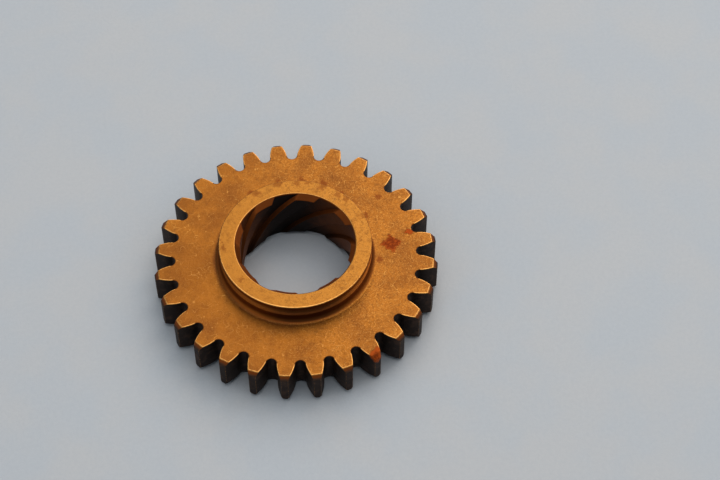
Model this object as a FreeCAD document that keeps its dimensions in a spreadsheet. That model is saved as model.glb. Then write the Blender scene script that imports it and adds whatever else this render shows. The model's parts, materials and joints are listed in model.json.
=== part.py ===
"""Kick-start spur gear: a toothed disc with a grooved collar and a helically splined bore.

The gear is one piece of machined steel. It screws along a splined shaft until its teeth are
in mesh, and the groove round its collar takes a friction clip that belongs to the shaft.

Frame: +Z up along the gear's axis, the plain face at Z = 0, a tooth centred on +X. Millimetres.
"""
import FreeCAD, Part
import math
import os

import Sketcher
from FreeCAD import Rotation, Vector

DIMENSIONS = {
    # toothed disc
    "tooth_count": 28,
    "module_size": 2.0,
    "pressure_angle": 20.0,
    "root_radius": 25.45,
    "face_width": 9.0,
    "tip_chamfer": 0.9,
    # bevels that point the teeth at the end that goes into mesh first
    "point_length": 1.3,
    "point_width": 0.75,
    "point_root_depth": 0.3,
    # collar, with a half-round groove for the clip
    "collar_radius": 16.05,
    "collar_height": 5.0,
    "collar_fillet": 1.1,
    "groove_height": 3.05,
    "groove_radius": 0.85,
    # bore with its helical splines
    "spline_count": 8,
    "bore_minor_radius": 11.6,
    "bore_major_radius": 12.55,
    "bore_rim_radius": 12.75,
    "space_angle": 23.5,
    "spline_lead": 75.0,
    "spline_phase": 26.0,
    # the plain face's height, and how far a cutting profile goes beyond the metal
    "plain_face_height": 0.0,
    "overrun": 1.0,
}
FORMULAS = {
    "pitch_radius": "=tooth_count * module_size / 2",
    "tip_radius": "=pitch_radius + module_size",
    "base_radius": "=pitch_radius * cos(pressure_angle * 1deg)",
    "tip_face_radius": "=tip_radius - tip_chamfer",
    "tip_chamfer_height": "=face_width - tip_chamfer",
    "total_height": "=face_width + collar_height",
    "groove_middle_height": "=face_width + groove_height",
    "lead_in_depth": "=bore_rim_radius - bore_minor_radius",
    "lead_in_height": "=total_height - lead_in_depth",
    "cut_outer_radius": "=tip_radius + overrun",
    "cut_inner_radius": "=bore_minor_radius - overrun",
    "tooth_cut_length": "=face_width + overrun",
    "spline_cut_start": "=-overrun",
    "spline_cut_height": "=total_height + 2 * overrun",
}
FLANK_POINTS = 6

doc = FreeCAD.newDocument("kick_gear")


def make_sheet():
    """Puts the driving dimensions, and the sizes that follow from them, into a sheet."""
    sheet = doc.addObject("Spreadsheet::Sheet", "dims")
    for row, (alias, value) in enumerate([*DIMENSIONS.items(), *FORMULAS.items()], start=1):
        sheet.set(f"A{row}", alias)
        sheet.set(f"B{row}", str(value))
        sheet.setAlias(f"B{row}", alias)
    doc.recompute()
    return sheet


sheet = make_sheet()


def size(alias):
    """The value of one of the sheet's aliases, in millimetres or degrees."""
    return float(sheet.get(alias))


def origin_feature(body, role):
    """A body's own origin plane or axis."""
    return next(f for f in body.Origin.OriginFeatures if f.Role == role)


def new_sketch(body, name, plane):
    """An empty sketch on one of the body's origin planes."""
    sketch = body.newObject("Sketcher::SketchObject", name)
    sketch.AttachmentSupport = [(origin_feature(body, plane), "")]
    sketch.MapMode = "FlatFace"
    return sketch


def constrain(sketch, kind, *where, alias):
    """Adds a constraint whose value is bound to one of the sheet's aliases."""
    index = sketch.addConstraint(Sketcher.Constraint(kind, *where, size(alias)))
    sketch.setExpression(f"Constraints[{index}]", f"dims.{alias}")


def draw_outline(sketch, corners):
    """Joins corners with straight lines. Each corner is two aliases: across and up."""
    places = [Vector(size(across), size(up), 0) for across, up in corners]
    for start, end in zip(places, places[1:] + places[:1]):
        sketch.addGeometry(Part.LineSegment(start, end))
    for line, (across, up) in enumerate(corners):
        following = (line + 1) % len(corners)
        sketch.addConstraint(Sketcher.Constraint("Coincident", line, 2, following, 1))
        constrain(sketch, "DistanceX", -1, 1, line, 1, alias=across)
        constrain(sketch, "DistanceY", -1, 1, line, 1, alias=up)


def turn_blank(body):
    """The turned blank: disc and collar in one, with tip chamfers and the bored hole."""
    sketch = new_sketch(body, "blank_outline", "XZ_Plane")
    draw_outline(
        sketch,
        [
            ("bore_rim_radius", "plain_face_height"),
            ("tip_face_radius", "plain_face_height"),
            ("tip_radius", "tip_chamfer"),
            ("tip_radius", "tip_chamfer_height"),
            ("tip_face_radius", "face_width"),
            ("collar_radius", "face_width"),
            ("collar_radius", "total_height"),
            ("bore_rim_radius", "total_height"),
            ("bore_minor_radius", "lead_in_height"),
            ("bore_minor_radius", "lead_in_depth"),
        ],
    )
    blank = body.newObject("PartDesign::Revolution", "blank")
    blank.Profile = sketch
    blank.ReferenceAxis = (origin_feature(body, "Z_Axis"), [""])
    blank.Angle = 360
    return blank


def cut_clip_groove(body):
    """The half-round groove round the collar."""
    sketch = new_sketch(body, "clip_groove_outline", "XZ_Plane")
    centre = Vector(size("collar_radius"), size("groove_middle_height"), 0)
    sketch.addGeometry(Part.Circle(centre, Vector(0, 0, 1), size("groove_radius")))
    constrain(sketch, "Radius", 0, alias="groove_radius")
    constrain(sketch, "DistanceX", -1, 1, 0, 3, alias="collar_radius")
    constrain(sketch, "DistanceY", -1, 1, 0, 3, alias="groove_middle_height")
    groove = body.newObject("PartDesign::Groove", "clip_groove")
    groove.Profile = sketch
    groove.ReferenceAxis = (origin_feature(body, "Z_Axis"), [""])
    groove.Angle = 360
    return groove


def round_collar_base(body, base):
    """The fillet where the collar rises from the disc."""
    doc.recompute()
    radius = size("collar_radius")
    height = size("face_width")
    edges = [
        f"Edge{number}"
        for number, edge in enumerate(base.Shape.Edges, start=1)
        if isinstance(edge.Curve, Part.Circle)
        and math.isclose(edge.Curve.Radius, radius, abs_tol=1e-6)
        and math.isclose(edge.Curve.Center.z, height, abs_tol=1e-6)
    ]
    fillet = body.newObject("PartDesign::Fillet", "collar_fillet_round")
    fillet.Base = (base, edges)
    fillet.setExpression("Radius", "dims.collar_fillet")
    return fillet


def on_circle(radius, angle):
    """The point at a radius and an angle in radians from +X."""
    return Vector(radius * math.cos(angle), radius * math.sin(angle), 0)


def involute_angle(radius):
    """How far round the gear an involute has turned where it reaches a radius."""
    pressure = math.acos(size("base_radius") / radius)
    return math.tan(pressure) - pressure


def draw_tooth_space(sketch, widening, deepening):
    """The space between two teeth: involute flanks that a round root joins.

    The space is centred half a tooth pitch from +X. Widening sets both flanks back by a width
    at the pitch circle, and deepening lowers the root.
    """
    middle = math.pi / size("tooth_count")
    base = size("base_radius")
    outside = size("cut_outer_radius")
    half_at_pitch = middle / 2 + widening / size("pitch_radius")
    half_at_base = half_at_pitch - involute_angle(size("pitch_radius"))

    radii = [base + (outside - base) * (i / (FLANK_POINTS - 1)) ** 2 for i in range(FLANK_POINTS)]
    half_angles = [half_at_base + involute_angle(radius) for radius in radii]
    flanks = []
    for side in (-1, 1):
        flank = Part.BSplineCurve()
        places = [on_circle(r, middle + side * a) for r, a in zip(radii, half_angles)]
        flank.interpolate(places[::side])
        flanks.append(flank)
    lower, upper = flanks
    root = on_circle(size("root_radius") - deepening, middle)
    sketch.addGeometry(lower)
    sketch.addGeometry(Part.Arc(lower.EndPoint, root, upper.StartPoint))
    sketch.addGeometry(upper)
    sketch.addGeometry(Part.Arc(upper.EndPoint, on_circle(outside, middle), lower.StartPoint))


def cut_tooth_spaces(body):
    """All the tooth spaces, each one widened at the plain face so that the teeth are pointed."""
    straight = new_sketch(body, "space_outline", "XY_Plane")
    draw_tooth_space(straight, 0, 0)
    space = body.newObject("PartDesign::Pocket", "tooth_space")
    space.Profile = straight
    space.Reversed = True
    space.setExpression("Length", "dims.tooth_cut_length")

    wide = new_sketch(body, "point_outline_at_face", "XY_Plane")
    draw_tooth_space(wide, size("point_width"), size("point_root_depth"))
    narrow = new_sketch(body, "point_outline_at_depth", "XY_Plane")
    narrow.setExpression("AttachmentOffset.Base.z", "dims.point_length")
    draw_tooth_space(narrow, 0, 0)
    point = body.newObject("PartDesign::SubtractiveLoft", "tooth_point")
    point.Profile = wide
    point.Sections = [narrow]
    point.Ruled = True

    teeth = body.newObject("PartDesign::PolarPattern", "teeth")
    teeth.Originals = [space, point]
    teeth.Axis = (origin_feature(body, "Z_Axis"), [""])
    teeth.Angle = 360
    teeth.Refine = False
    teeth.setExpression("Occurrences", "dims.tooth_count")
    body.Tip = teeth
    return teeth


def cut_splines(body):
    """The left-handed helical spaces between the splines of the bore."""
    sketch = new_sketch(body, "spline_space_outline", "XY_Plane")
    sketch.setExpression("AttachmentOffset.Base.z", "dims.spline_cut_start")
    middle = math.radians(size("spline_phase"))
    half = math.radians(size("space_angle")) / 2
    inner = size("cut_inner_radius")
    outer = size("bore_major_radius")
    outer_start = on_circle(outer, middle - half)
    outer_end = on_circle(outer, middle + half)
    inner_start = on_circle(inner, middle - half)
    inner_end = on_circle(inner, middle + half)
    sketch.addGeometry(Part.LineSegment(inner_start, outer_start))
    sketch.addGeometry(Part.Arc(outer_start, on_circle(outer, middle), outer_end))
    sketch.addGeometry(Part.LineSegment(outer_end, inner_end))
    sketch.addGeometry(Part.Arc(inner_end, on_circle(inner, middle), inner_start))

    space = body.newObject("PartDesign::SubtractiveHelix", "spline_space")
    space.Profile = sketch
    space.ReferenceAxis = (origin_feature(body, "Z_Axis"), [""])
    space.Mode = "pitch-height-angle"
    space.LeftHanded = True
    space.Refine = False
    space.setExpression("Pitch", "dims.spline_lead")
    space.setExpression("Height", "dims.spline_cut_height")

    splines = body.newObject("PartDesign::PolarPattern", "splines")
    splines.Originals = [space]
    splines.Axis = (origin_feature(body, "Z_Axis"), [""])
    splines.Angle = 360
    splines.Refine = False
    splines.setExpression("Occurrences", "dims.spline_count")
    body.Tip = splines
    return splines


def removed(before, after, name):
    """Stops if a cut took nothing away, and says how much it took."""
    doc.recompute()
    volume = before.Shape.Volume - after.Shape.Volume
    if volume <= 0:
        raise RuntimeError(f"{name} cut nothing")
    print(f"{name} removed {volume:.1f} mm3")


def make_gear():
    """The gear as one body."""
    body = doc.addObject("PartDesign::Body", "spur_gear")
    body.Label = "spur_gear"
    blank = turn_blank(body)
    groove = cut_clip_groove(body)
    removed(blank, groove, "clip groove")
    fillet = round_collar_base(body, groove)
    doc.recompute()
    teeth = cut_tooth_spaces(body)
    removed(fillet, teeth, "tooth spaces")
    splines = cut_splines(body)
    removed(teeth, splines, "spline spaces")
    body.Placement = FreeCAD.Placement(Vector(0, 0, 0), Rotation())
    return body


def check(parts):
    """Stops on any failed object, and on any sub-part without a sound solid."""
    doc.recompute()
    for item in doc.Objects:
        if "Invalid" in item.State or "Error" in item.State:
            raise RuntimeError(f"{item.Label} failed: {item.State}")
    for part in parts:
        shape = part.Shape
        if shape.isNull() or not shape.isValid() or len(shape.Solids) != 1:
            raise RuntimeError(f"{part.Label} is not one valid solid")
        print(f"{part.Label}: {len(shape.Faces)} faces, {shape.Volume:.1f} mm3, {shape.BoundBox}")


gear = make_gear()
check([gear])
os.makedirs("parts", exist_ok=True)
gear.Shape.exportStep(f"parts/{gear.Label}.step")
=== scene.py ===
import json
import math

import bpy
import numpy as np
from mathutils import Matrix, Vector


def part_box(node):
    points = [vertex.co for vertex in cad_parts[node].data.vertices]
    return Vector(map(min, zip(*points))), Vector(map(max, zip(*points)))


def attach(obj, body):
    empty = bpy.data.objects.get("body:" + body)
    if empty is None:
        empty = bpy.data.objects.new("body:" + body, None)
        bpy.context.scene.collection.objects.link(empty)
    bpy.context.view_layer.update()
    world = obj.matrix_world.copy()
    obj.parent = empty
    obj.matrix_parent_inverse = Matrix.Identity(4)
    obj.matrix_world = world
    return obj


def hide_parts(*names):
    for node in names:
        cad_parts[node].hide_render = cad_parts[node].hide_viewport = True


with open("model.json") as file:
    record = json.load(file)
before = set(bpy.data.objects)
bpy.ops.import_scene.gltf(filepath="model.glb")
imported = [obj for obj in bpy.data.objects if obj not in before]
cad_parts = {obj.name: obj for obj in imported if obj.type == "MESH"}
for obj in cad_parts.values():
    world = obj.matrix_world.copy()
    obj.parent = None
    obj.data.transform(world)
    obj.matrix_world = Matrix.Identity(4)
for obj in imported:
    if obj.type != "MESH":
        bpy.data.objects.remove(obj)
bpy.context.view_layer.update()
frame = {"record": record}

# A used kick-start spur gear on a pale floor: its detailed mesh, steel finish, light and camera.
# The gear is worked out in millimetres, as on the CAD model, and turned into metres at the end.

MM = 0.001
NODE = "spur_gear"

# ---- sizes that the frame holds ----
_, node_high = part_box(NODE)
mounts = {mount["name"]: mount for mount in frame["record"]["mounts"]}
TIP_RADIUS = node_high.x / MM
HEIGHT = node_high.z / MM
TEETH = mounts["teeth"]["dims"]["count"]
PITCH_RADIUS = mounts["teeth"]["dims"]["pcd_mm"] / 2
FACE_WIDTH = mounts["teeth"]["dims"]["length_mm"]
SPLINE_TOP_RADIUS = mounts["bore"]["dims"]["r_mm"]
GROOVE_MIDDLE = mounts["clip_groove"]["pos_m"][2] / MM
GROOVE_RADIUS = mounts["clip_groove"]["dims"]["length_mm"] / 2

# ---- sizes of the same features as on the CAD model, in millimetres and degrees ----
PRESSURE_ANGLE = 20.0
BASE_RADIUS = PITCH_RADIUS * math.cos(math.radians(PRESSURE_ANGLE))
ROOT_RADIUS = 25.45
TIP_CHAMFER = 0.9
POINT_LENGTH = 1.3
POINT_WIDTH = 0.75
POINT_ROOT_DEPTH = 0.3
COLLAR_RADIUS = mounts["clip_groove"]["dims"]["r_mm"] + GROOVE_RADIUS
COLLAR_FILLET = 1.1
RIM_RADIUS = 12.75
SPLINES = 8
SPLINE_FLOOR_RADIUS = 12.55
SPACE_ANGLE = 23.5
SPLINE_LEAD = 75.0
SPACE_PHASE = 21.2

# ---- how finely the mesh is divided: points on half of a tooth's outline, and columns ----
ROOT_POINTS = 5
FLANK_POINTS = 6
CORNER_POINTS = 2
TIP_POINTS = 4
TOOTH_COLUMNS = 2 * (ROOT_POINTS + FLANK_POINTS + CORNER_POINTS + TIP_POINTS - 1)
COLUMNS = TEETH * TOOTH_COLUMNS

# ---- how much the edges are rounded, and how near to an edge its supporting rings are ----
EDGE = 0.12
COLLAR_EDGE = 0.16
GROOVE_LIP = 0.07
CORNER = 0.16
SUPPORT = 0.07
SPLINE_FLANK_ANGLE = 2.0  # how wide a spline's flank is, in degrees, where the CAD model's is 0
BLEND_RADIUS = 24.9  # where the rings of the disc stop following the teeth


def involute_angle(radius):
    """How far round the gear an involute has turned where it reaches a radius."""
    pressure = np.arccos(BASE_RADIUS / radius)
    return np.tan(pressure) - pressure


def polar(radius, angle):
    """Points in the plane from radii and angles in radians, as an array of pairs."""
    radius, angle = np.broadcast_arrays(radius, angle)
    return np.stack([radius * np.cos(angle), radius * np.sin(angle)], -1)


def half_tooth(setback, deepening, tip_radius):
    """Half of one tooth, from the middle of the space below +X to the middle of the tooth on +X.

    It is a round root, an involute flank, a rounded corner and the tip's arc.
    """
    half_pitch = math.pi / TEETH
    thickness = half_pitch / 2 + involute_angle(PITCH_RADIUS) - setback / PITCH_RADIUS

    half_gap = half_pitch - thickness
    root = ROOT_RADIUS - deepening
    width = BASE_RADIUS * math.sin(half_gap)
    rise = BASE_RADIUS * math.cos(half_gap) - root
    round_radius = (width**2 + rise**2) / (2 * rise)
    turn = np.linspace(0, math.atan2(width, round_radius - rise), ROOT_POINTS)
    across = round_radius * np.sin(turn)
    along = root + round_radius * (1 - np.cos(turn))
    root_points = polar(np.hypot(along, across), np.arctan2(across, along) - half_pitch)

    share = np.linspace(0, 1, FLANK_POINTS + 1)[1:] ** 1.5
    radii = BASE_RADIUS + (tip_radius - CORNER - BASE_RADIUS) * share
    flank = polar(radii, involute_angle(radii) - thickness)

    tip_angle = involute_angle(tip_radius) - thickness
    corner = polar(tip_radius, tip_angle)
    after = tip_angle * (1 - min(0.6, CORNER / (-tip_angle * tip_radius)))
    tip = polar(tip_radius, np.linspace(after, 0, TIP_POINTS))
    blend = np.linspace(0, 1, CORNER_POINTS + 2)[1:-1, None]
    start, end = flank[-1], tip[0]
    rounded = (1 - blend) ** 2 * start + 2 * blend * (1 - blend) * corner + blend**2 * end
    return np.concatenate([root_points, flank, rounded, tip])


def tooth_outline(inset, setback, deepening, tip_radius):
    """The whole toothed outline, moved inwards by an inset, with one point for each column."""
    half = half_tooth(setback, deepening, tip_radius)
    other = half[-2:0:-1] * [1, -1]
    tooth = np.concatenate([half, other])
    points = []
    for number in range(TEETH):
        turn = 2 * math.pi * number / TEETH
        spin = np.array([[math.cos(turn), math.sin(turn)], [-math.sin(turn), math.cos(turn)]])
        points.append(tooth @ spin)
    points = np.concatenate(points)
    along = np.roll(points, -1, 0) - np.roll(points, 1, 0)
    along /= np.linalg.norm(along, axis=1, keepdims=True)
    outwards = np.stack([along[:, 1], -along[:, 0]], -1)
    return points - inset * outwards


OUTER_ANGLES = np.linspace(0, 2 * math.pi, COLUMNS, endpoint=False) - math.pi / TEETH


def circle(radius):
    """A plain circle, with its columns evenly spaced from the middle of a tooth space."""
    return polar(radius, OUTER_ANGLES)


def spline_pattern():
    """For each column of the bore, its angle from the first space and how far up a spline it is."""
    per_spline = COLUMNS // SPLINES
    pitch = 2 * math.pi / SPLINES
    half_space = math.radians(SPACE_ANGLE) / 2
    flank_half_width = math.radians(SPLINE_FLANK_ANGLE) / 2
    flank_columns = 12
    floor_columns = 2 * (per_spline // 6)
    land_columns = per_spline - floor_columns - 2 * flank_columns
    rise = np.linspace(0, 1, flank_columns + 1)
    runs = [
        np.linspace(-half_space + flank_half_width, half_space - flank_half_width, floor_columns + 1),
        half_space + flank_half_width * (2 * rise - 1),
        np.linspace(half_space + flank_half_width, pitch - half_space - flank_half_width, land_columns + 1),
        pitch - half_space + flank_half_width * (2 * rise - 1),
    ]
    smooth = rise**2 * (3 - 2 * rise)
    heights = [np.zeros(floor_columns + 1), smooth, np.ones(land_columns + 1), 1 - smooth]
    angles = np.concatenate([run[:-1] for run in runs])
    height = np.concatenate([run[:-1] for run in heights])
    all_angles = np.concatenate([angles + pitch * number for number in range(SPLINES)])
    return all_angles, np.tile(height, SPLINES)


BORE_ANGLES, BORE_HEIGHTS = spline_pattern()


def bore_turn(level):
    """How far round the first space between splines has turned at a height, in radians."""
    return math.radians(SPACE_PHASE - 360 * level / SPLINE_LEAD)


def bore_outline(level):
    """The splined bore at a height: the spaces' floors, and the splines cut back by the lead-ins."""
    lead_in = max(RIM_RADIUS - (HEIGHT - level), RIM_RADIUS - level)
    floor = max(SPLINE_FLOOR_RADIUS, lead_in)
    top = max(SPLINE_TOP_RADIUS, lead_in)
    return polar(floor + (top - floor) * BORE_HEIGHTS, BORE_ANGLES + bore_turn(level))


class Surface:
    """A closed surface of rings of vertices, each joined to the one before by a band of faces."""

    def __init__(self):
        self.rings = []
        self.shifts = []

    def add(self, outline, level, wear=0.0, shift=0):
        """Adds a ring at a height. A shift says how many columns its numbering is behind."""
        points = np.column_stack([outline, np.full(len(outline), level)])
        self.rings.append((points, np.broadcast_to(wear, len(outline))))
        self.shifts.append(shift)

    def bands(self):
        """The faces between each ring and the next, and between the last ring and the first."""
        column = np.arange(COLUMNS)
        faces = []
        for number in range(len(self.rings)):
            following = (number + 1) % len(self.rings)
            shift = self.shifts[following]
            here = number * COLUMNS
            there = following * COLUMNS
            corners = [
                here + column,
                here + (column + 1) % COLUMNS,
                there + (column + 1 - shift) % COLUMNS,
                there + (column - shift) % COLUMNS,
            ]
            faces.append(np.stack(corners, -1))
        return np.concatenate(faces)

    def mesh(self, name):
        """The mesh, in metres, with the wear and painted highlight of each vertex as an attribute."""
        points = np.concatenate([ring for ring, _ in self.rings]) * MM
        wear = np.concatenate([worn_and_highlit for _, worn_and_highlit in self.rings])
        mesh = bpy.data.meshes.new(name)
        mesh.from_pydata(points.tolist(), [], self.bands().tolist())
        attribute = mesh.attributes.new("wear", "FLOAT", "POINT")
        attribute.data.foreach_set("value", wear.astype(np.float32))
        mesh.polygons.foreach_set("use_smooth", [True] * len(mesh.polygons))
        mesh.validate()
        mesh.update()
        return mesh


def columns_between(from_angle, to_angle):
    """The whole number of columns nearest to the turn between two angles."""
    return round((to_angle - from_angle) / (2 * math.pi) * COLUMNS)


def rounding(steps):
    """Pairs of cosine and sine from a quarter turn back to nothing, for a rounded edge."""
    return [(math.cos(turn), math.sin(turn)) for turn in np.linspace(math.pi / 2, 0, steps)]


def along_tooth(tip, corner, flank, root):
    """Wear and painted highlight for every column, from its values on the parts of a tooth's outline."""
    from_middle = np.abs(np.arange(TOOTH_COLUMNS) - TOOTH_COLUMNS // 2)
    ends = np.cumsum([TIP_POINTS, CORNER_POINTS, FLANK_POINTS])
    worn_and_highlit = np.select([from_middle < end for end in ends], [tip, corner, flank], root)
    return np.tile(worn_and_highlit, TEETH)


def toothed_at(level, inset=0.0):
    """The toothed outline at a height of the disc, with the chamfers and the pointed ends."""
    to_end = min(level, FACE_WIDTH - level)
    share = max(0.0, 1 - level / POINT_LENGTH)
    return tooth_outline(
        inset=inset,
        setback=POINT_WIDTH * share,
        deepening=POINT_ROOT_DEPTH * share,
        tip_radius=TIP_RADIUS - max(0.0, TIP_CHAMFER - to_end),
    )


def add_toothed_side(surface):
    """From the plain face's edge up the teeth to the toothed edge of the upper face."""
    # Wear along the teeth's edges, partly a painted highlight: bright lines along the upper edges and the
    # corners.
    lower_wear = along_tooth(tip=0.7, corner=0.6, flank=0.5, root=0.2)
    wall_wear_and_highlight = along_tooth(tip=0.0, corner=0.65, flank=0.0, root=0.0)
    upper_wear_and_highlight = along_tooth(tip=0.85, corner=1.0, flank=0.95, root=0.45)
    for cosine, sine in rounding(4):
        level = EDGE * (1 - sine)
        surface.add(toothed_at(level, EDGE * (1 - cosine)), level, lower_wear)
    low = TIP_CHAMFER
    high = FACE_WIDTH - TIP_CHAMFER
    below = [EDGE + SUPPORT, low - SUPPORT, low, low + SUPPORT]
    pointed = [POINT_LENGTH - SUPPORT, POINT_LENGTH, POINT_LENGTH + SUPPORT]
    middle = [3.5, 6.0]
    above = [high - SUPPORT, high, high + SUPPORT, FACE_WIDTH - EDGE - SUPPORT]
    for level in below + pointed + middle + above:
        surface.add(toothed_at(level), level, wall_wear_and_highlight)
    for cosine, sine in reversed(rounding(4)):
        level = FACE_WIDTH - EDGE * (1 - sine)
        surface.add(toothed_at(level, EDGE * (1 - cosine)), level, upper_wear_and_highlight)


def add_upper_face(surface):
    """From the toothed edge inwards over the disc to the collar's fillet."""
    edge = toothed_at(FACE_WIDTH, EDGE + SUPPORT)
    rim = circle(BLEND_RADIUS)
    surface.add(edge, FACE_WIDTH, along_tooth(tip=0.45, corner=0.8, flank=0.85, root=0.3))
    for share in (0.04, 0.25, 0.5, 0.75):
        surface.add(edge + (rim - edge) * share, FACE_WIDTH)
    fillet_start = COLLAR_RADIUS + COLLAR_FILLET
    for radius in np.linspace(BLEND_RADIUS, fillet_start + SUPPORT, 4):
        surface.add(circle(radius), FACE_WIDTH)


def arc(middle_radius, middle_level, radius, from_angle, to_angle, steps):
    """Radius and level of points along an arc of the collar's section, angles in degrees."""
    turns = np.radians(np.linspace(from_angle, to_angle, steps))
    radii = middle_radius + radius * np.cos(turns)
    levels = middle_level + radius * np.sin(turns)
    return list(zip(radii, levels))


def add_collar(surface):
    """From the fillet up the collar, through the clip groove and over the outer edge."""
    fillet_radius = COLLAR_RADIUS + COLLAR_FILLET
    fillet = arc(fillet_radius, FACE_WIDTH + COLLAR_FILLET, COLLAR_FILLET, 270, 180, 8)
    for radius, level in fillet:
        surface.add(circle(radius), level)

    lip_height = math.sqrt((GROOVE_RADIUS + GROOVE_LIP) ** 2 - GROOVE_LIP**2)
    lip_angle = math.degrees(math.asin(GROOVE_LIP / (GROOVE_RADIUS + GROOVE_LIP)))
    lip_radius = COLLAR_RADIUS - GROOVE_LIP
    low_lip = arc(lip_radius, GROOVE_MIDDLE - lip_height, GROOVE_LIP, 0, 90 - lip_angle, 4)
    groove = arc(COLLAR_RADIUS, GROOVE_MIDDLE, GROOVE_RADIUS, 270 - lip_angle, 90 + lip_angle, 13)
    high_lip = arc(lip_radius, GROOVE_MIDDLE + lip_height, GROOVE_LIP, lip_angle - 90, 0, 4)

    surface.add(circle(COLLAR_RADIUS), GROOVE_MIDDLE - lip_height - SUPPORT)
    for radius, level in low_lip:
        surface.add(circle(radius), level, wear=0.2)
    for radius, level in groove[1:-1]:
        surface.add(circle(radius), level)
    for radius, level in high_lip:
        surface.add(circle(radius), level, wear=0.3)
    surface.add(circle(COLLAR_RADIUS), GROOVE_MIDDLE + lip_height + SUPPORT)
    surface.add(circle(COLLAR_RADIUS), HEIGHT - COLLAR_EDGE - SUPPORT)
    edge = arc(COLLAR_RADIUS - COLLAR_EDGE, HEIGHT - COLLAR_EDGE, COLLAR_EDGE, 0, 90, 5)
    # The ring's outer edge: wear and a painted highlight, strongest at the front left.
    most_worn_and_highlit_side = math.radians(240)
    edge_wear_and_highlight = 0.6 + 0.4 * np.cos(OUTER_ANGLES - most_worn_and_highlit_side)
    for radius, level in edge:
        surface.add(circle(radius), level, edge_wear_and_highlight)
    surface.add(circle(COLLAR_RADIUS - COLLAR_EDGE - SUPPORT), HEIGHT, edge_wear_and_highlight)
    surface.add(circle(COLLAR_RADIUS - COLLAR_EDGE - 2 * SUPPORT), HEIGHT)
    surface.add(circle((COLLAR_RADIUS + RIM_RADIUS) / 2), HEIGHT)


def bore_circle(radius, level):
    """A plain circle whose columns line up with those of the splines at a height."""
    return polar(radius, BORE_ANGLES + bore_turn(level))


def add_bore(surface):
    """From the collar's ring down through the splined bore to the plain face."""
    rounded = SUPPORT / 6
    spline_wear = 0.5 * (BORE_HEIGHTS > 0.3)
    lead_in_height = RIM_RADIUS - SPLINE_TOP_RADIUS
    floor_height = RIM_RADIUS - SPLINE_FLOOR_RADIUS
    top_end = HEIGHT - lead_in_height
    to_bore = columns_between(OUTER_ANGLES[0], BORE_ANGLES[0] + bore_turn(HEIGHT))
    surface.add(bore_circle(RIM_RADIUS + 2 * SUPPORT, HEIGHT), HEIGHT, shift=to_bore)
    # The bore's upper rim: wear and a painted highlight.
    surface.add(bore_circle(RIM_RADIUS + SUPPORT, HEIGHT), HEIGHT, wear=0.8)
    surface.add(bore_circle(RIM_RADIUS - rounded, HEIGHT), HEIGHT - SUPPORT / 2, wear=1.0)

    # Distances from each end of the bore, along the lead-in and where the splines' tops begin.
    cone = [floor_height / 2, floor_height, 0.6, 1.0]
    ends = [lead_in_height - SUPPORT, lead_in_height, lead_in_height + SUPPORT]
    middle = np.linspace(top_end - 3 * SUPPORT, lead_in_height + 3 * SUPPORT, 16)
    for depth in cone:
        surface.add(bore_outline(HEIGHT - depth), HEIGHT - depth)
    for depth in ends:
        surface.add(bore_outline(HEIGHT - depth), HEIGHT - depth, spline_wear)
    for level in middle:
        surface.add(bore_outline(level), level)
    for level in reversed(ends):
        surface.add(bore_outline(level), level, spline_wear)
    for level in reversed(cone):
        surface.add(bore_outline(level), level)

    surface.add(bore_circle(RIM_RADIUS - rounded, 0), SUPPORT / 2, wear=0.8)
    surface.add(bore_circle(RIM_RADIUS + SUPPORT, 0), 0.0, wear=0.6)
    surface.add(bore_circle(RIM_RADIUS + 2 * SUPPORT, 0), 0.0)


def add_plain_face(surface):
    """From the bore outwards over the plain face, as far as the toothed edge."""
    to_teeth = columns_between(BORE_ANGLES[0] + bore_turn(0), OUTER_ANGLES[0])
    surface.add(circle((RIM_RADIUS + BLEND_RADIUS) / 2), 0.0, shift=to_teeth)
    edge = toothed_at(0.0, EDGE + SUPPORT)
    rim = circle(BLEND_RADIUS - POINT_ROOT_DEPTH)
    for share in (0.0, 0.25, 0.5, 0.75, 1.0):
        surface.add(rim + (edge - rim) * share, 0.0)


def make_gear():
    """The whole gear as one closed mesh."""
    surface = Surface()
    add_toothed_side(surface)
    add_upper_face(surface)
    add_collar(surface)
    add_bore(surface)
    add_plain_face(surface)
    gear = bpy.data.objects.new("gear_body", surface.mesh("gear_body"))
    bpy.context.scene.collection.objects.link(gear)
    return gear


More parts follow.
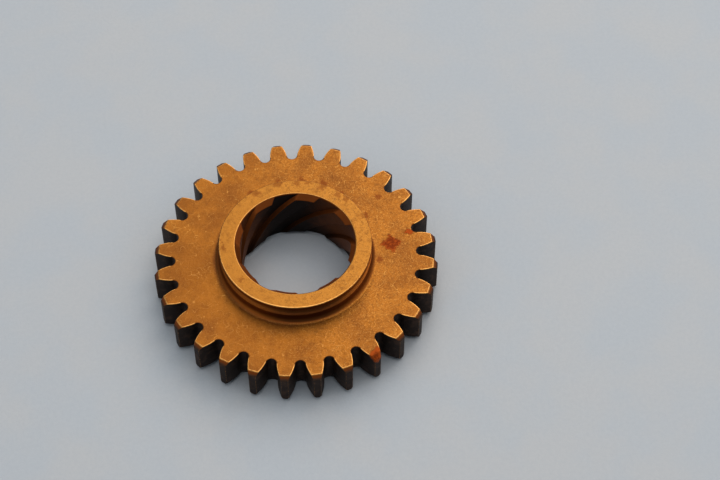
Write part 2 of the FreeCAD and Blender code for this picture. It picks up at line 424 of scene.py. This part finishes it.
# ---- materials ----
class Shader:
    """A principled material, and the steps for building its node tree."""

    def __init__(self, name):
        self.material = bpy.data.materials.new(name)
        self.material.use_nodes = True
        self.tree = self.material.node_tree
        self.principled = self.tree.nodes["Principled BSDF"]
        source = self.node("ShaderNodeTexCoord")
        self.place = self.vector("MULTIPLY", source.outputs["Object"], (1 / MM, 1 / MM, 1 / MM))
        self.normal = source.outputs["Normal"]

    def node(self, kind, **settings):
        """A new node of a kind, with its settings."""
        made = self.tree.nodes.new(kind)
        for name, value in settings.items():
            setattr(made, name, value)
        return made

    def feed(self, socket, value):
        """Links a socket to another, or sets it to a plain value."""
        if isinstance(value, bpy.types.NodeSocket):
            self.tree.links.new(value, socket)
        elif isinstance(value, tuple) and len(socket.default_value) == 4:
            socket.default_value = (*value, 1.0)
        else:
            socket.default_value = value

    def maths(self, operation, first, second=0.0):
        """The result of an operation on one or two numbers."""
        made = self.node("ShaderNodeMath", operation=operation)
        self.feed(made.inputs[0], first)
        self.feed(made.inputs[1], second)
        return made.outputs[0]

    def vector(self, operation, first, second=None):
        """The result of an operation on one or two vectors."""
        made = self.node("ShaderNodeVectorMath", operation=operation)
        self.feed(made.inputs[0], first)
        if second is not None:
            self.feed(made.inputs[1], second)
        return made.outputs["Value" if operation in ("LENGTH", "DOT_PRODUCT") else "Vector"]

    def part(self, vector, axis):
        """One coordinate of a vector."""
        made = self.node("ShaderNodeSeparateXYZ")
        self.feed(made.inputs[0], vector)
        return made.outputs[axis]

    def ramp(self, value, low, high):
        """From 0 at one value to 1 at another, smoothly."""
        made = self.node("ShaderNodeMapRange", interpolation_type="SMOOTHSTEP")
        self.feed(made.inputs["Value"], value)
        self.feed(made.inputs["From Min"], low)
        self.feed(made.inputs["From Max"], high)
        return made.outputs["Result"]

    def noise(self, per_mm, detail=3.0, roughness=0.55, output="Fac"):
        """Noise from about 0.25 to 0.75, with so many features to a millimetre."""
        made = self.node("ShaderNodeTexNoise")
        self.feed(made.inputs["Vector"], self.place)
        made.inputs["Scale"].default_value = per_mm
        made.inputs["Detail"].default_value = detail
        made.inputs["Roughness"].default_value = roughness
        return made.outputs[output]

    def mix(self, share, first, second):
        """One colour or number changed into another by a share."""
        is_colour = isinstance(second, tuple) or getattr(second, "type", "") == "RGBA"
        made = self.node("ShaderNodeMix", data_type="RGBA" if is_colour else "FLOAT")
        # The node's sockets for colours come after those for numbers and for vectors.
        first_input = 6 if is_colour else 2
        result = 2 if is_colour else 0
        self.feed(made.inputs[0], share)
        self.feed(made.inputs[first_input], first)
        self.feed(made.inputs[first_input + 1], second)
        return made.outputs[result]

    def bump(self, height, distance, base=None):
        """Bump of a depth in millimetres, on top of another bump."""
        made = self.node("ShaderNodeBump")
        made.inputs["Distance"].default_value = distance * MM
        self.feed(made.inputs["Height"], height)
        if base is not None:
            self.feed(made.inputs["Normal"], base)
        return made.outputs["Normal"]


# Colours of the steel, as linear red, green and blue.
GOLD = (0.260, 0.085, 0.0080)
BROWN = (0.165, 0.049, 0.0050)
RING_GOLD = (0.300, 0.112, 0.0135)
CHAMFER_BROWN = (0.210, 0.048, 0.0060)
COLLAR_BROWN = (0.095, 0.024, 0.0030)
# A painted reflection of the golden face on the collar's sides.
COLLAR_REFLECTION_GOLD = (0.220, 0.056, 0.0050)
BORE_DARK = (0.020, 0.012, 0.0090)
# Painted light on the bore's left and right walls.
BORE_LIT_BROWN = (0.160, 0.044, 0.0090)
# Painted shade, low in the bore.
BORE_SHADE = (0.006, 0.004, 0.0030)
# Painted shade on the bore's lower slopes.
FLANK_BROWN = (0.100, 0.030, 0.0070)
WALL_DARK = (0.026, 0.015, 0.0110)
WALL_BROWN = (0.062, 0.032, 0.0200)
# Painted shadow of the collar, on the face beside its fillet.
COLLAR_SHADE = (0.085, 0.021, 0.0030)
STAIN = (0.135, 0.030, 0.0020)
SPECK = (0.080, 0.022, 0.0030)
# GLINT is the painted sparkle of light on the faces, and also the colour of the bright scratches.
GLINT = (0.570, 0.268, 0.0560)
# Bare steel on worn edges, partly a painted highlight.
BARE_STEEL_HIGHLIGHT = (0.740, 0.350, 0.0900)
RUST_DARK = (0.230, 0.036, 0.0040)
RUST_ORANGE = (0.420, 0.078, 0.0080)

# Colours of the floor's sheet and of the light.
SHEET_COOL = (0.386, 0.392, 0.403)
SHEET_WARM = (0.408, 0.398, 0.394)
SHEET_FIBRE = (0.250, 0.270, 0.300)
WARM_LIGHT = (1.0, 0.96, 0.91)
FAINTLY_WARM_LIGHT = (1.0, 0.97, 0.93)
COOL_LIGHT = (0.97, 0.98, 1.0)
WORLD_LIGHT = (0.68, 0.86, 1.0)

# Spots, each as a radius in millimetres, an angle in degrees and a size in millimetres. They are
# on the disc's upper face, apart from the ring's stains, which are on top of the collar.
FRESH_RUST = ((20.4, -0.3, 2.2), (24.7, 5.2, 1.0), (30.0, -64.4, 2.4))
RUST_CORES = ((20.6, 0.6, 2.1), (30.0, -65.0, 1.5))
OLD_STAINS = (
    (17.8, -12.1, 0.9),
    (18.2, 25.7, 0.8),
    (23.3, 32.1, 0.9),
    (18.7, 50.9, 0.9),
    (19.6, 64.1, 1.1),
    (19.8, 78.0, 0.9),
    (19.9, 93.0, 0.7),
    (19.0, 112.0, 0.9),
)
RING_STAINS = (
    (15.6, 16.3, 0.8),
    (15.4, 36.7, 0.8),
    (15.3, 45.2, 1.0),
    (15.4, 60.0, 1.2),
    (15.6, 71.2, 0.8),
    (15.5, 80.4, 1.0),
    (15.9, 95.7, 1.1),
    (15.3, 114.9, 1.0),
    (15.3, 169.6, 0.6),
    (14.9, 175.8, 0.7),
    (14.2, -149.6, 0.7),
)
TARNISH = ((23.0, 177.0, 7.5), (23.5, -13.0, 4.5), (22.0, 128.0, 5.0), (21.0, 232.0, 5.0))


def ragged_spots(shader, places, reach, softness, level=FACE_WIDTH):
    """Where a face has squarish spots, from 0 to 1, their outlines torn by up to half the reach.

    The noise that tears them is a half on average, so the places move by half the reach as well.
    """
    warp = shader.vector("MULTIPLY", shader.noise(1.2, 6.0, 0.65, "Color"), (reach, reach, 0.0))
    warped = shader.vector("ADD", shader.place, warp)
    spots = 0.0
    for radius, angle, size in places:
        turn = math.radians(angle)
        across = radius * math.cos(turn) + reach / 2
        along = radius * math.sin(turn) + reach / 2
        away = shader.vector("ABSOLUTE", shader.vector("SUBTRACT", warped, (across, along, level)))
        away = shader.vector("DOT_PRODUCT", away, (1.0, 1.0, 1.0))
        spot = shader.ramp(away, size * (1 + softness), size * (1 - softness))
        spots = shader.maths("MAXIMUM", spots, spot)
    return spots


class GearSteel(Shader):
    """Old steel: a golden-brown varnish of oil on the faces, dark walls, bare edges that also carry painted
    highlights, rust, and painted light and shade.
    """

    def __init__(self):
        super().__init__("gear_steel")
        self.find_zones()
        self.clouds = self.noise(0.12, 3.0)
        self.blotches = self.noise(0.7, 4.0)
        self.grain = self.noise(1.9, 3.0, roughness=0.75)
        self.grit = self.noise(4.5, 3.0, roughness=0.7)
        self.wear = self.node("ShaderNodeAttribute", attribute_name="wear").outputs["Fac"]
        self.paint()

    def find_zones(self):
        """The place in millimetres, and where each kind of surface is, as shares from 0 to 1."""
        self.height = self.part(self.place, "Z")
        self.across = self.part(self.place, "X")
        self.radius = self.vector("LENGTH", self.vector("MULTIPLY", self.place, (1.0, 1.0, 0.0)))
        self.in_bore = self.ramp(self.radius, RIM_RADIUS + 0.15, RIM_RADIUS + 0.05)
        self.on_ring = self.ramp(self.height, HEIGHT - 0.15, HEIGHT - 0.02)
        self.above_disc = self.ramp(self.height, FACE_WIDTH + 0.02, FACE_WIDTH + 0.3)
        not_wall = self.maths("MAXIMUM", self.on_ring, self.in_bore)
        self.on_collar = self.maths("MAXIMUM", self.maths("SUBTRACT", self.above_disc, not_wall), 0.0)
        upwards = self.part(self.normal, "Z")
        flat = self.ramp(self.maths("ABSOLUTE", upwards), 0.80, 0.97)
        self.facing = self.maths("MULTIPLY", flat, self.maths("SUBTRACT", 1.0, self.on_collar))
        self.sloping = self.ramp(upwards, 0.20, 0.55)

    def collar_shade(self):
        """How much painted shadow of the collar there is beside its fillet, most of it at the left, where
        the shadow falls.
        """
        fillet_start = COLLAR_RADIUS + COLLAR_FILLET
        edge = self.maths("ADD", self.radius, self.blotches)
        collar_shade = self.maths("MULTIPLY", self.ramp(edge, fillet_start + 1.25, fillet_start + 0.35), 0.8)
        return self.maths("MULTIPLY", collar_shade, self.ramp(self.across, 12.0, -8.0))

    def varnish(self, collar_shade):
        """The faces' colour: gold and brown, with the collar's painted shadow, patches, dark specks and
        painted glints.
        """
        colour = self.mix(self.ramp(self.clouds, 0.30, 0.62), BROWN, GOLD)
        tarnish = self.maths("MULTIPLY", ragged_spots(self, TARNISH, 6.0, 0.6), 0.5)
        colour = self.mix(tarnish, colour, BROWN)
        # Painted shadow of the collar on the face beside it, most of it at the left.
        colour = self.mix(collar_shade, colour, COLLAR_SHADE)
        colour = self.mix(self.on_ring, colour, RING_GOLD)
        patches = self.maths("MULTIPLY", self.ramp(self.blotches, 0.50, 0.72), 0.45)
        colour = self.mix(patches, colour, BROWN)
        # More dark grain towards the right, and more painted sparkle.
        grain_and_sparkle = self.mix(self.ramp(self.across, -16.0, 8.0), 0.4, 1.0)
        specks = self.maths("MULTIPLY", self.ramp(self.grain, 0.48, 0.66), 0.5)
        colour = self.mix(self.maths("MULTIPLY", specks, grain_and_sparkle), colour, SPECK)
        # Painted highlights: bright glints of light off the grain.
        glints = self.maths("MULTIPLY", self.ramp(self.grit, 0.50, 0.68), 0.36)
        return self.mix(self.maths("MULTIPLY", glints, grain_and_sparkle), colour, GLINT)

    def slopes(self):
        """The colour of the teeth's chamfers, and of the sloping surfaces in the bore."""
        edge = self.maths("SUBTRACT", self.height, self.maths("MULTIPLY", self.blotches, 0.4))
        low_end = FACE_WIDTH - TIP_CHAMFER - 0.1
        chamfers = self.mix(self.ramp(edge, low_end, low_end + 0.5), WALL_BROWN, CHAMFER_BROWN)
        # Painted shade: the bore's slopes darken from chamfer brown at the top to a darker brown lower
        # down.
        in_bore = self.mix(self.ramp(self.height, 4.0, HEIGHT), FLANK_BROWN, CHAMFER_BROWN)
        return self.mix(self.in_bore, chamfers, in_bore)

    def walls(self):
        """The colour of all that isn't a face: walls and slopes of the teeth, bore and collar, with painted
        light on the sides of the bore and collar and painted shade low in the bore.
        """
        walls = self.mix(self.ramp(self.blotches, 0.45, 0.70), WALL_DARK, WALL_BROWN)
        sideways = self.maths("ABSOLUTE", self.across)
        sideways = self.maths("ADD", sideways, self.maths("MULTIPLY", self.blotches, 4.0))
        # Painted light: the bore's walls are lighter and browner towards the left and right.
        bore = self.mix(self.ramp(sideways, 5.0, 12.5), BORE_DARK, BORE_LIT_BROWN)
        # Painted reflection: the collar's walls turn gold towards the left and right, and stay dark brown
        # at the front and back.
        collar = self.mix(self.ramp(sideways, 5.0, 13.0), COLLAR_BROWN, COLLAR_REFLECTION_GOLD)
        walls = self.mix(self.on_collar, self.mix(self.in_bore, walls, bore), collar)
        slopes = self.mix(self.on_collar, self.slopes(), collar)
        # Painted shade: the bore darkens to near black towards its lower end.
        bore_shade = self.maths("MULTIPLY", self.in_bore, self.ramp(self.height, 5.0, 1.0))
        bore_shade = self.maths("MULTIPLY", bore_shade, 0.75)
        return self.mix(bore_shade, self.mix(self.sloping, walls, slopes), BORE_SHADE)

    def scratches(self, collar_shade):
        """How scratched the faces are: fine curly lines, hidden where the collar's shadow is painted."""
        from_line = self.maths("ABSOLUTE", self.maths("SUBTRACT", self.noise(0.35, 2.0), 0.5))
        scratches = self.maths("MULTIPLY", self.ramp(from_line, 0.008, 0.002), self.facing)
        scratches = self.maths("MULTIPLY", scratches, self.ramp(self.blotches, 0.42, 0.55))
        return self.maths("MULTIPLY", scratches, self.maths("SUBTRACT", 0.4, collar_shade))

    def stains(self):
        """How stained the disc and the collar's ring are, in small spots."""
        below_ring = self.maths("SUBTRACT", 1.0, self.above_disc)
        stains = self.maths("MULTIPLY", ragged_spots(self, OLD_STAINS, 3.0, 0.4), 0.85)
        stains = self.maths("MULTIPLY", stains, below_ring)
        ring_stains = ragged_spots(self, RING_STAINS, 3.0, 0.5, HEIGHT)
        ring_stains = self.maths("MULTIPLY", self.maths("MULTIPLY", ring_stains, 0.6), self.on_ring)
        return self.maths("MAXIMUM", stains, ring_stains)

    def roughness(self, bare_and_highlit, rust):
        """Glossy along the bare edges that also carry painted highlights, satin on the faces, matt where it
        has rusted.
        """
        rough = self.mix(self.facing, 0.60, self.mix(self.blotches, 0.34, 0.50))
        rough = self.mix(self.on_collar, rough, 0.44)
        rough = self.mix(bare_and_highlit, rough, 0.27)
        return self.mix(rust, rough, 0.75)

    def relief(self, rust):
        """Bump from fine grit to broad blotches, with the rust standing out."""
        relief = self.bump(self.grit, 0.012)
        relief = self.bump(self.grain, 0.030, relief)
        relief = self.bump(self.blotches, 0.030, relief)
        return self.bump(self.maths("MULTIPLY", rust, self.grain), 0.10, relief)

    def paint(self):
        """Lays the colours over each other, and feeds the shader's sockets."""
        collar_shade = self.collar_shade()
        colour = self.mix(self.facing, self.walls(), self.varnish(collar_shade))
        colour = self.mix(self.scratches(collar_shade), colour, GLINT)
        # Bare steel along worn edges, partly a painted highlight.
        ragged_wear_and_highlight = self.maths("ADD", self.wear, self.maths("MULTIPLY", self.grain, 0.9))
        bare_and_highlit = self.maths("MULTIPLY", self.ramp(ragged_wear_and_highlight, 1.0, 1.5), 0.75)
        colour = self.mix(bare_and_highlit, colour, BARE_STEEL_HIGHLIGHT)
        colour = self.mix(self.stains(), colour, STAIN)
        rust = ragged_spots(self, FRESH_RUST, 2.2, 0.2)
        cores = ragged_spots(self, RUST_CORES, 2.2, 0.3)
        cores = self.maths("MULTIPLY", cores, self.ramp(self.grain, 0.36, 0.56))
        colour = self.mix(rust, colour, self.mix(cores, RUST_ORANGE, RUST_DARK))
        self.feed(self.principled.inputs["Base Color"], colour)
        self.feed(self.principled.inputs["Metallic"], 0.9)
        self.feed(self.principled.inputs["Roughness"], self.roughness(bare_and_highlit, rust))
        self.feed(self.principled.inputs["Normal"], self.relief(rust))


def pale_floor():
    """A matt, pale, slightly blue sheet, with fine darker fibres."""
    shader = Shader("pale_sheet")
    patches = shader.noise(0.05, 4.0)
    fibres = shader.noise(1.2, 4.0, roughness=0.8)
    colour = shader.mix(shader.ramp(patches, 0.35, 0.65), SHEET_COOL, SHEET_WARM)
    darker = shader.maths("MULTIPLY", shader.ramp(fibres, 0.35, 0.65), 0.12)
    colour = shader.mix(darker, colour, SHEET_FIBRE)
    shader.feed(shader.principled.inputs["Base Color"], colour)
    shader.feed(shader.principled.inputs["Roughness"], 0.8)
    shader.feed(shader.principled.inputs["Normal"], shader.bump(fibres, 0.05))
    return shader.material


# ---- floor, light and camera, in metres ----
def make_floor():
    """A wide floor, a hair below the gear so that their faces don't coincide."""
    mesh = bpy.data.meshes.new("floor")
    reach = 6.0
    drop = 0.02 * MM
    corners = [(-reach, -reach), (reach, -reach), (reach, reach), (-reach, reach)]
    mesh.from_pydata([(*corner, -drop) for corner in corners], [], [(0, 1, 2, 3)])
    mesh.materials.append(pale_floor())
    floor = bpy.data.objects.new("floor", mesh)
    bpy.context.scene.collection.objects.link(floor)


def add_softbox(name, place, size, power, colour):
    """A soft square light that shines towards the gear and isn't seen itself."""
    light = bpy.data.lights.new(name, "AREA")
    light.shape = "SQUARE"
    light.size = size
    light.energy = power
    light.color = colour
    lamp = bpy.data.objects.new(name, light)
    lamp.location = place
    lamp.rotation_euler = (-Vector(place)).to_track_quat("-Z", "Y").to_euler()
    lamp.visible_camera = False
    bpy.context.scene.collection.objects.link(lamp)


def add_light():
    """Strong lights behind and above, weaker ones at the sides, and a dim bluish world."""
    add_softbox("back_softbox", (0.37, 0.66, 0.80), 0.9, 7.6, WARM_LIGHT)
    add_softbox("top_softbox", (0.0, 0.0, 1.2), 1.1, 6.4, COOL_LIGHT)
    add_softbox("right_softbox", (0.80, 0.00, 0.65), 0.8, 2.2, FAINTLY_WARM_LIGHT)
    add_softbox("left_softbox", (-0.75, -0.15, 0.60), 0.8, 1.2, COOL_LIGHT)
    world = bpy.data.worlds.new("studio")
    world.use_nodes = True
    background = world.node_tree.nodes["Background"]
    background.inputs["Color"].default_value = (*WORLD_LIGHT, 1.0)
    background.inputs["Strength"].default_value = 0.38
    bpy.context.scene.world = world


def add_camera():
    """The camera at the photograph's viewing angle."""
    place = Vector((-22.4, -211.7, 331.1)) * MM
    clockwise_from_y = math.radians(9.683)
    downwards = math.radians(56.086)
    tilt = math.radians(0.264)
    camera = bpy.data.cameras.new("camera")
    camera.lens = 91.3
    camera.sensor_width = 36.0
    holder = bpy.data.objects.new("camera", camera)
    turn = Matrix.Rotation(-clockwise_from_y, 4, "Z")
    nod = Matrix.Rotation(math.pi / 2 - downwards, 4, "X")
    lean = Matrix.Rotation(tilt, 4, "Z")
    holder.matrix_world = Matrix.Translation(place) @ turn @ nod @ lean
    bpy.context.scene.collection.objects.link(holder)
    bpy.context.scene.camera = holder


gear = make_gear()
gear.data.materials.append(GearSteel().material)
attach(gear, "root")
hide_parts(NODE)

make_floor()
add_light()
add_camera()
bpy.context.scene.view_settings.view_transform = "Standard"
